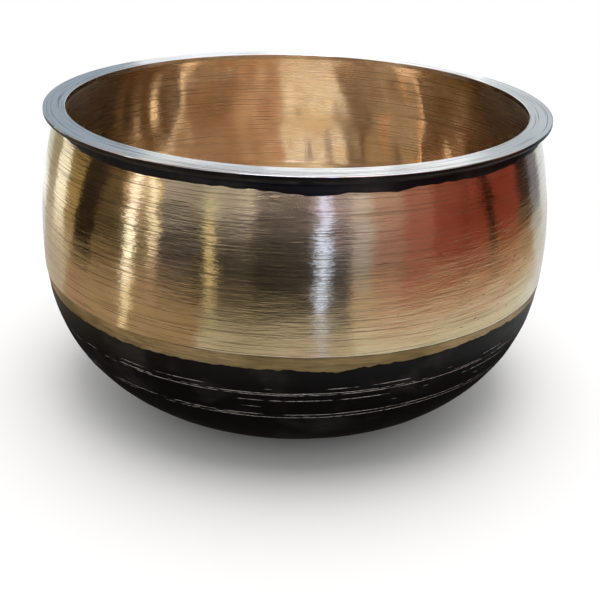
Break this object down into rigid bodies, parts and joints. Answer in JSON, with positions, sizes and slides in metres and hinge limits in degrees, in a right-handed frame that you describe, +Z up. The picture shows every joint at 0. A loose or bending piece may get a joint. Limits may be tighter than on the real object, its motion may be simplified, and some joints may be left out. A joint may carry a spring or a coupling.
{
  "type": "urli bowl",
  "caption": "Deep open brass bowl with a flat rim, a lathe-turned bulging wall and a blackened round base on a flat foot, for water, flowers or cooking.",
  "frame": {"origin": "middle of the flat foot, on the surface the bowl stands on", "axes": "+Z up along the turning axis, out of the mouth; +X and +Y any pair across it"},
  "size_m": [0.2478, 0.2478, 0.146],
  "materials": {
    "rim_brass": "turned and polished, pale and silvery",
    "wall_brass": "lathe-turned, with fine rings, uneven and bright",
    "pan_brass": "turned inside, warm copper brown",
    "dark_braze": "blackened braze",
    "seam_braze": "dull olive, scraped by hand",
    "blacking": "black, half gloss, with lines scribed through it"
  },
  "bodies": {
    "root": {"rim_ring": "rim_brass", "side_wall": "wall_brass", "base_pan": "pan_brass", "rim_braze": "dark_braze", "seam_braze": "seam_braze", "neck_blacking": "blacking", "base_blacking": "blacking"}
  },
  "joints": []
}
